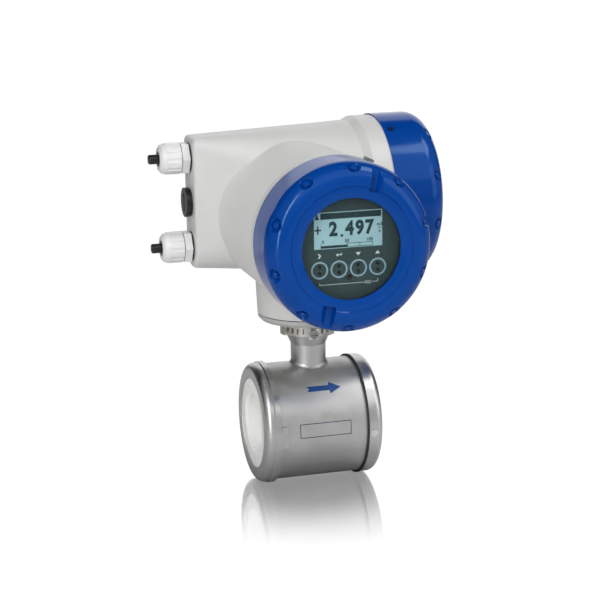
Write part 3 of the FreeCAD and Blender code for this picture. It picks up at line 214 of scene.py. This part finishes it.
def lit_panel(name, base, roughness, light):
    """Display panel that gives a little light of its own."""
    material, tree, shader = node_material(name, base, roughness)
    vary_tone(tree, shader, base, scale=70.0, dark=0.96, light=1.03)
    glow(shader, base, light)
    bump(tree, shader, noise(tree, FOIL_SCALE, detail=1.0), FOIL_RELIEF)
    return material


STEEL = metal("blasted_steel", (0.54, 0.54, 0.535), 0.44, grain=1400.0, relief=0.00006)
RING_STEEL = metal("turned_steel", (0.56, 0.555, 0.55), 0.32, lines=(60.0, 1.0, 1.0),
                   relief=0.00002)
BRIGHT = metal("bright_metal", (0.72, 0.71, 0.69), 0.22)
CAST = metal("bare_casting", (0.50, 0.49, 0.46), 0.45, grain=900.0, relief=0.00008)
COPPER = metal("copper_winding", (0.72, 0.36, 0.18), 0.35, lines=(1.0, 1.0, 120.0))
IRON = metal("soft_iron", (0.30, 0.30, 0.31), 0.5)
DULL = metal("dull_screw", (0.34, 0.34, 0.335), 0.4)
DARK_STEEL = metal("dark_ring", (0.12, 0.12, 0.125), 0.4)
# the ceramic's glow is painted light: it brightens the shaded bore and face as if lit
CERAMIC_WITH_PAINTED_GLOW = plastic("white_ceramic", (0.92, 0.92, 0.90), 0.30, soft=0.1, light=0.05)
BLUE = paint("cover_blue", (0.0, 0.048, 0.285), 0.12, sheen=(0.5, 0.8, 1.0), ior=1.36)
GREY = paint("housing_grey", (0.63, 0.63, 0.62), 0.38, coat=0.1)
BASE_GREY = paint("base_grey", (0.47, 0.47, 0.46), 0.42)
RUBBER = plastic("black_rubber", (0.012, 0.012, 0.012), 0.6)
INSERT_RUBBER = plastic("insert_rubber", (0.02, 0.02, 0.02), 0.55)
GLAND = plastic("gland_white", (0.78, 0.78, 0.775), 0.38, soft=0.08)
BLACK = plastic("black_plastic", (0.008, 0.008, 0.008), 0.3)
INSERT = plastic("insert_plastic", (0.03, 0.035, 0.035), 0.5)
PLATE = plastic("display_plate_foil", (0.022, 0.048, 0.050), 0.42, gloss=0.15)
KEY_RING = plastic("key_ring_print", (0.24, 0.38, 0.44), 0.4, gloss=0.15)
EYE = plastic("eye_black", (0.002, 0.003, 0.003), 0.12, gloss=0.1)
BOARD = plastic("terminal_board", (0.12, 0.14, 0.12), 0.5)
BLOCK = plastic("block_grey", (0.28, 0.30, 0.29), 0.45)
CLAW = plastic("claw_grey", (0.16, 0.21, 0.21), 0.35)
LOCK = metal("lock_screw_blue", (0.02, 0.05, 0.16), 0.4)
GLASS = clear_glass("window_glass", (0.30, 0.36, 0.36), 0.03, alpha=0.03, gloss=0.15)
LCD = lit_panel("lcd", (0.28, 0.49, 0.53), 0.35, light=0.06)
INK = plastic("lcd_ink", (0.006, 0.030, 0.036), 0.5, gloss=0.1)
PRINT = plastic("plate_print", (0.60, 0.66, 0.66), 0.5, gloss=0.2)
DECAL = paint("decal_blue", (0.0, 0.05, 0.22), 0.4)
FRAME_INK = paint("frame_ink", (0.01, 0.03, 0.10), 0.4)

FINISHES = {
    STEEL: ["sensor_housing", "locating_tab"],
    RING_STEEL: ["inlet_ring", "outlet_ring"],
    BRIGHT: ["ring_screw", "earth_clamp", "clamp_screws", "electrode_front", "electrode_back"],
    LOCK: ["terminal_lock_screw"],
    CAST: ["neck_crown"],
    DULL: ["earth_screw"],
    COPPER: ["field_coil_upper", "field_coil_lower"],
    IRON: ["pole_core_upper", "pole_core_lower", "field_yoke"],
    DARK_STEEL: ["window_ring"],
    CERAMIC_WITH_PAINTED_GLOW: ["ceramic_tube"],
    BLUE: ["display_cover", "terminal_cover"],
    GREY: ["converter_housing"],
    BASE_GREY: ["base_plate"],
    RUBBER: ["inlet_ring_seal", "outlet_ring_seal", "display_cover_seal", "terminal_cover_seal",
             "base_gasket", "window_gasket", "blanking_plug_seal", "gland_washer_upper",
             "gland_washer_lower"],
    INSERT_RUBBER: ["gland_insert_upper", "gland_insert_lower"],
    GLAND: ["gland_body_upper", "gland_body_lower", "gland_nut_upper", "gland_nut_lower"],
    BLACK: ["sealing_pin_upper", "sealing_pin_lower", "blanking_plug"],
    INSERT: ["electronics_insert"],
    PLATE: ["display_plate"],
    KEY_RING: ["key_ring_1", "key_ring_2", "key_ring_3", "key_ring_4"],
    EYE: ["optical_eyes"],
    BOARD: ["terminal_board"],
    BLOCK: ["terminal_block_front", "terminal_block_back"],
    CLAW: ["display_lock_claw"],
    GLASS: ["display_window"],
    LCD: ["lcd_panel"],
}


def dress_nodes():
    """Gives each CAD node its material."""
    for material, names in FINISHES.items():
        for name in names:
            for place in NODES[name].material_slots:
                place.material = material


dress_nodes()


# ---------------------------------------------------------------- print on the display
# The panel and the plate lie in the XZ plane and look along -Y. Each print stands a little
# proud of what it is on, in metres.
PANEL_LIFT, PLATE_LIFT, SHELL_LIFT = 0.00004, 0.00005, 0.00012
# glyph heights as shares of the panel's height, and how much their strokes are widened
DIGIT_SHARE, DIGIT_SQUEEZE, DIGIT_BOLD = 0.52, 0.88, 0.0007
NOTE_SHARE, NOTE_BOLD = 0.13, 0.0001
LCD_LOW, LCD_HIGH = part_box("lcd_panel")
LCD_FACE = LCD_LOW[1] - PANEL_LIFT
LCD_WIDTH, LCD_HEIGHT = LCD_HIGH[0] - LCD_LOW[0], LCD_HIGH[2] - LCD_LOW[2]
PLATE_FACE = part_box("display_plate")[0][1] - PLATE_LIFT


def add_print(name, mesh, material):
    """New printed piece that rides on the meter."""
    mesh.materials.clear()
    mesh.materials.append(material)
    piece = bpy.data.objects.new(name, mesh)
    bpy.context.scene.collection.objects.link(piece)
    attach(piece, "meter")


def flat_shape(name, outline, material):
    """Flat polygon that looks along -Y."""
    mesh = bpy.data.meshes.new(name)
    mesh.from_pydata(outline, [], [list(range(len(outline)))])
    add_print(name, mesh, material)


def glyphs(name, text, size, centre, material, squeeze=1.0, bold=0.0):
    """Upright text centred on a point, as a mesh."""
    curve = bpy.data.curves.new(name, "FONT")
    curve.body = text
    curve.size = size
    curve.offset = bold
    curve.align_x = "CENTER"
    curve.align_y = "CENTER"
    pattern = bpy.data.objects.new(name + "_curve", curve)
    mesh = bpy.data.meshes.new_from_object(pattern)
    bpy.data.objects.remove(pattern)
    upright = Matrix.Translation(centre) @ Matrix.Rotation(math.radians(90), 4, "X")
    mesh.transform(upright @ Matrix.Diagonal((squeeze, 1, 1, 1)))
    mesh.name = name
    add_print(name, mesh, material)


def on_panel(u, v):
    """Point of the panel: u from the left edge, v from the top edge, as shares."""
    return (LCD_LOW[0] + u * LCD_WIDTH, LCD_FACE, LCD_HIGH[2] - v * LCD_HEIGHT)


def panel_shape(name, outline):
    """Printed polygon on the panel, its corners in shares."""
    flat_shape(name, [on_panel(u, v) for u, v in outline], INK)


def panel_box(name, left, top, right, bottom):
    """Printed rectangle on the panel."""
    panel_shape(name, [(left, bottom), (right, bottom), (right, top), (left, top)])


def panel_digit(name, text, u, v):
    """Digit of the reading."""
    glyphs(name, text, LCD_HEIGHT * DIGIT_SHARE, on_panel(u, v), INK,
           squeeze=DIGIT_SQUEEZE, bold=DIGIT_BOLD)


def panel_note(name, text, u, v):
    """Small number or unit on the panel."""
    glyphs(name, text, LCD_HEIGHT * NOTE_SHARE, on_panel(u, v), INK, bold=NOTE_BOLD)


def make_panel_print():
    """Header bar, warning triangle, reading, unit and bar graph."""
    panel_box("header_bar", 0.092, 0.02, 0.984, 0.19)
    panel_shape("notice_triangle", [(0.004, 0.19), (0.078, 0.19), (0.041, 0.035)])
    panel_box("plus_level", 0.004, 0.457, 0.104, 0.497)
    panel_box("plus_upright", 0.044, 0.367, 0.065, 0.587)
    reading_v = 0.482
    for i, (text, u) in enumerate([("2", 0.279), ("4", 0.519), ("9", 0.668), ("7", 0.808)]):
        panel_digit("digit_%d" % i, text, u, reading_v)
    panel_box("decimal_point", 0.386, 0.62, 0.424, 0.69)
    unit_u = 0.962
    panel_note("unit_upper", "m3", unit_u, 0.41)
    panel_box("unit_line", 0.938, 0.495, 0.987, 0.515)
    panel_note("unit_lower", "h", unit_u, 0.60)
    scale_v = 0.81
    for i, (text, u) in enumerate([("0", 0.125), ("50", 0.479), ("100", 0.812)]):
        panel_note("scale_%d" % i, text, u, scale_v)
    bar_left, bar_level, bar_right, bar_bottom = 0.092, 0.482, 0.858, 0.982
    tick_width, line_height = 0.008, 0.015
    panel_box("bar_full", bar_left, 0.912, bar_level, bar_bottom)
    panel_box("bar_edge_left", bar_left, 0.85, 0.099, bar_bottom)
    for i, u in enumerate((bar_level, 0.665, 0.85)):
        panel_box("bar_tick_%d" % i, u, 0.86, u + tick_width, bar_bottom)
    panel_box("bar_top", bar_level, 0.873, bar_right, 0.873 + line_height)
    panel_box("bar_base", bar_level, bar_bottom - line_height, bar_right, bar_bottom)


# ---------------------------------------------------------------- print on the plate
MARK_RISE, MARK_UNIT = 0.0115, 0.0019   # a mark's middle above its key, and half its height
BRACKET_DROP = 0.0121                   # the bracket line's foot below the middle of the keys
BRACKET_LONG, BRACKET_SHORT = 0.037, 0.0045     # the line's two runs, beside the word
BRACKET_HALF = 0.00018                  # half the width of the line
LEFT_TIP, RIGHT_TIP = 0.0018, 0.0028    # how high its two ends turn up
WORD_SIZE, WORD_INSET = 0.0034, 0.0079
# outlines of the marks, in MARK_UNIT from the middle
CHEVRON = [(0.1, 0), (-0.7, -1), (-0.1, -1), (0.8, 0), (-0.1, 1), (-0.7, 1)]
ENTER = [(-0.4, -0.75), (-0.4, -0.15), (1.3, -0.15), (1.3, 0.7), (0.9, 0.7), (0.9, 0.25),
         (-0.4, 0.25), (-0.4, 0.75), (-1.3, 0)]
DOWN = [(-1.1, 0.6), (1.1, 0.6), (0, -0.8)]
UP = [(-1.1, -0.6), (1.1, -0.6), (0, 0.8)]


def plate_shape(name, outline):
    """Printed polygon on the plate, its corners in X and Z."""
    flat_shape(name, [(x, PLATE_FACE, z) for x, z in outline], PRINT)


def make_plate_print():
    """Symbols above the keys and the bracket line below them."""
    keys = [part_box("key_ring_%d" % i) for i in (1, 2, 3, 4)]
    centres = [((low[0] + high[0]) / 2, (low[2] + high[2]) / 2) for low, high in keys]
    marks = (("mark_right", CHEVRON), ("mark_enter", ENTER), ("mark_down", DOWN), ("mark_up", UP))
    for (x, z), (name, outline) in zip(centres, marks):
        middle = z + MARK_RISE
        plate_shape(name, [(x + a * MARK_UNIT, middle + b * MARK_UNIT) for a, b in outline])
    left, right = centres[0][0], centres[-1][0]
    low = centres[0][1] - BRACKET_DROP
    top = low + 2 * BRACKET_HALF
    strips = [(left, top, left + BRACKET_LONG), (right - BRACKET_SHORT, top, right),
              (left - BRACKET_HALF, low + LEFT_TIP, left + BRACKET_HALF),
              (right - BRACKET_HALF, low + RIGHT_TIP, right + BRACKET_HALF)]
    for i, (start, high, end) in enumerate(strips):
        plate_shape("bracket_%d" % i, [(start, low), (end, low), (end, high), (start, high)])
    glyphs("bracket_word", "ESC", WORD_SIZE, (right - WORD_INSET, PLATE_FACE, low), PRINT)


# ---------------------------------------------------------------- print on the shell
SHELL_LOW, SHELL_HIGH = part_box("sensor_housing")
SHELL_RADIUS = (SHELL_HIGH[1] - SHELL_LOW[1]) / 2
# All below in millimetres: along the flow, or as arc length up from the shell's front line.
CUTS = range(-8, 60)                    # arc lengths where an outline is cut, so that it bends
ARROW_TAIL, ARROW_NOTCH, ARROW_NECK, ARROW_BARB, ARROW_TIP = -12.3, -10.0, 7.4, 7.9, 18.0
ARROW_ARC, ARROW_HALF, BARB_HALF = 39.4, 2.5, 5.7
LABEL_LEFT, LABEL_RIGHT, LABEL_LOW, LABEL_HIGH, LABEL_LINE = -22.4, 22.6, -2.6, 9.6, 0.6


def on_shell(x, arc):
    """Point on the shell: x along the flow, arc length up from the front line."""
    angle = arc / SHELL_RADIUS
    radius = SHELL_RADIUS + SHELL_LIFT
    return Vector((x, -radius * math.cos(angle), radius * math.sin(angle)))


def shell_patch(name, outline, material):
    """Outline in (x, arc) millimetres, filled and bent round the shell."""
    patch = bmesh.new()
    patch.faces.new([patch.verts.new((x, arc, 0)) for x, arc in outline])
    for arc in CUTS:
        geometry = patch.verts[:] + patch.edges[:] + patch.faces[:]
        bmesh.ops.bisect_plane(patch, geom=geometry, plane_co=(0, arc, 0), plane_no=(0, 1, 0))
    for point in patch.verts:
        point.co = on_shell(point.co.x / 1000, point.co.y / 1000)
    bmesh.ops.triangulate(patch, faces=patch.faces[:])
    mesh = bpy.data.meshes.new(name)
    patch.to_mesh(mesh)
    patch.free()
    add_print(name, mesh, material)


def make_shell_print():
    """Flow arrow with a notched tail, and the outline of the bare label place."""
    low, high = ARROW_ARC - ARROW_HALF, ARROW_ARC + ARROW_HALF
    shell_patch("flow_arrow", [
        (ARROW_TAIL, low), (ARROW_NECK, low), (ARROW_BARB, ARROW_ARC - BARB_HALF),
        (ARROW_TIP, ARROW_ARC), (ARROW_BARB, ARROW_ARC + BARB_HALF), (ARROW_NECK, high),
        (ARROW_TAIL, high), (ARROW_NOTCH, ARROW_ARC)], DECAL)
    lines = [(LABEL_LEFT, LABEL_LOW, LABEL_RIGHT, LABEL_LOW + LABEL_LINE),
             (LABEL_LEFT, LABEL_HIGH - LABEL_LINE, LABEL_RIGHT, LABEL_HIGH),
             (LABEL_LEFT, LABEL_LOW, LABEL_LEFT + LABEL_LINE, LABEL_HIGH),
             (LABEL_RIGHT - LABEL_LINE, LABEL_LOW, LABEL_RIGHT, LABEL_HIGH)]
    for i, (a, b, c, d) in enumerate(lines):
        shell_patch("label_line_%d" % i, [(a, b), (c, b), (c, d), (a, d)], FRAME_INK)


make_panel_print()
make_plate_print()
make_shell_print()


# ---------------------------------------------------------------- floor
FLOOR_SIZE = 40
FLOOR_GAP = 0.0002                      # room between the floor and the lowest point
# the floor's own tone, and a darker tone near the object that is painted shade under it
FLOOR_TONE, FLOOR_PAINTED_SHADE = (0.85, 0.85, 0.85), (0.28, 0.28, 0.28)
# distances from the middle over which the painted shade near the object and the mirror give way
PAINTED_SHADE_REACH, MIRROR_REACH = (0.04, 0.12), (0.06, 0.19)
MIRROR_SHARE = 0.74
MIRROR_TINT, MIRROR_ROUGHNESS = (0.97, 0.97, 0.97), 0.07
FLOOR_ROUGHNESS = 0.6
FLOOR_WHITE, BACKDROP_WHITE = 1.03, 1.05


def make_floor():
    """Floor that the camera sees as a soft mirror under the object and plain white beyond.

    Everything else sees it darker near the object than further away: painted shade under the
    object.
    """
    material, tree, shader = node_material("floor_white", FLOOR_TONE, FLOOR_ROUGHNESS)
    place = tree.nodes.new("ShaderNodeTexCoord")
    span = tree.nodes.new("ShaderNodeVectorMath")
    span.operation = "LENGTH"
    tree.links.new(place.outputs["Object"], span.inputs["Vector"])
    away = span.outputs["Value"]
    # painted shade: the floor's colour darkens towards the object
    shade(tree, shader, spread(tree, away, 0.0, 1.0, PAINTED_SHADE_REACH), FLOOR_PAINTED_SHADE, FLOOR_TONE)
    fade = spread(tree, away, MIRROR_SHARE, 0.0, MIRROR_REACH, smooth=True)
    mirror = tree.nodes.new("ShaderNodeBsdfGlossy")
    mirror.inputs["Color"].default_value = (*MIRROR_TINT, 1)
    mirror.inputs["Roughness"].default_value = MIRROR_ROUGHNESS
    white = tree.nodes.new("ShaderNodeEmission")
    white.inputs["Strength"].default_value = FLOOR_WHITE
    seen = mix_shaders(tree, fade, white.outputs["Emission"], mirror.outputs["BSDF"])
    path = tree.nodes.new("ShaderNodeLightPath")
    surface = mix_shaders(tree, path.outputs["Is Camera Ray"], shader.outputs["BSDF"], seen)
    tree.links.new(surface, tree.nodes["Material Output"].inputs["Surface"])
    level = CAD_BOX[0][2] - FLOOR_GAP
    bpy.ops.mesh.primitive_plane_add(size=FLOOR_SIZE, location=(0, 0, level))
    floor = bpy.context.object
    floor.name = "studio_floor"
    floor.data.materials.append(material)


# ---------------------------------------------------------------- sky, lamps and camera
CARD_WAY = (0.27, 0.93, 0.24)           # direction of the white card behind the object
CARD_EDGE = (0.82, 0.90)                # cosines between which the card's rim fades in
SKY_LEVEL, SKY_TOP = 0.46, 0.22         # brightness all round and overhead
SKY_REAR = 0.05                         # share of it that is left at the back
TOP_EDGE, REAR_EDGE = (0.45, 0.95), (-0.2, 0.5)
LAMP_TARGET = (0.0, 0.0, 0.11)
LAMPS = [  # name, place, width, height, power in watts
    ("key_left", (-1.1, -1.25, 0.70), 0.14, 1.5, 11.0),
    ("top_front", (0.0, -1.1, 1.35), 2.6, 1.2, 9.0),
    ("top_right", (0.75, -0.35, 1.40), 0.6, 0.5, 5.0),
    ("fill_right", (1.3, -1.1, 0.7), 0.8, 1.2, 4.0),
]
AZIMUTH, ELEVATION, ROLL = math.radians(-16.12), math.radians(13.25), math.radians(-0.90)
CAMERA_TARGET, CAMERA_DISTANCE = Vector((-0.00443, 0.0, 0.10483)), 1.48354
FOCAL_PIXELS, IMAGE_PIXELS, SENSOR_WIDTH, CAMERA_SHIFT = 1732.58, 600.0, 36.0, -0.004


def make_world():
    """White for the camera; reflections see a white card behind the object in a dim sky."""
    world = bpy.data.worlds.new("studio")
    bpy.context.scene.world = world
    world.use_nodes = True
    tree = world.node_tree
    back = tree.nodes["Background"]
    back.inputs["Color"].default_value = (1, 1, 1, 1)
    place = tree.nodes.new("ShaderNodeTexCoord")
    parts = tree.nodes.new("ShaderNodeSeparateXYZ")
    tree.links.new(place.outputs["Generated"], parts.inputs["Vector"])
    toward = tree.nodes.new("ShaderNodeVectorMath")
    toward.operation = "DOT_PRODUCT"
    toward.inputs[1].default_value = CARD_WAY
    tree.links.new(place.outputs["Generated"], toward.inputs[0])
    card = spread(tree, toward.outputs["Value"], 0.0, 1.0, CARD_EDGE, smooth=True)
    path = tree.nodes.new("ShaderNodeLightPath")
    white = combine(tree, "MAXIMUM", card, path.outputs["Is Camera Ray"])
    level = spread(tree, parts.outputs["Z"], SKY_LEVEL, SKY_TOP, TOP_EDGE, smooth=True)
    rear = spread(tree, parts.outputs["Y"], 1.0, SKY_REAR, REAR_EDGE, smooth=True)
    strength = tree.nodes.new("ShaderNodeMix")
    tree.links.new(white, strength.inputs["Factor"])
    tree.links.new(combine(tree, "MULTIPLY", level, rear), strength.inputs["A"])
    strength.inputs["B"].default_value = BACKDROP_WHITE
    tree.links.new(strength.outputs["Result"], back.inputs["Strength"])


def make_lamps():
    """Softboxes that look at the object."""
    for name, place, width, height, power in LAMPS:
        lamp = bpy.data.lights.new(name, "AREA")
        lamp.shape = "RECTANGLE"
        lamp.size = width
        lamp.size_y = height
        lamp.energy = power
        holder = bpy.data.objects.new(name, lamp)
        holder.location = place
        way = Vector(LAMP_TARGET) - Vector(place)
        holder.rotation_euler = way.to_track_quat("-Z", "Y").to_euler()
        bpy.context.scene.collection.objects.link(holder)


def make_camera():
    """Camera at the photograph's angle, set from its azimuth, elevation, roll and distance."""
    back = Vector((math.sin(AZIMUTH) * math.cos(ELEVATION),
                   -math.cos(AZIMUTH) * math.cos(ELEVATION), math.sin(ELEVATION)))
    right = Vector((math.cos(AZIMUTH), math.sin(AZIMUTH), 0.0))
    up = back.cross(right)
    side = right * math.cos(ROLL) + up * math.sin(ROLL)
    head = up * math.cos(ROLL) - right * math.sin(ROLL)
    lens = bpy.data.cameras.new("camera")
    lens.sensor_width = SENSOR_WIDTH
    lens.lens = FOCAL_PIXELS * SENSOR_WIDTH / IMAGE_PIXELS
    lens.shift_x = CAMERA_SHIFT
    camera = bpy.data.objects.new("camera", lens)
    turn = Matrix((side, head, back)).transposed()
    place = Matrix.Translation(CAMERA_TARGET + back * CAMERA_DISTANCE)
    camera.matrix_world = place @ turn.to_4x4()
    bpy.context.scene.collection.objects.link(camera)
    bpy.context.scene.camera = camera


make_floor()
make_world()
make_lamps()
make_camera()
bpy.context.scene.view_settings.view_transform = "Standard"
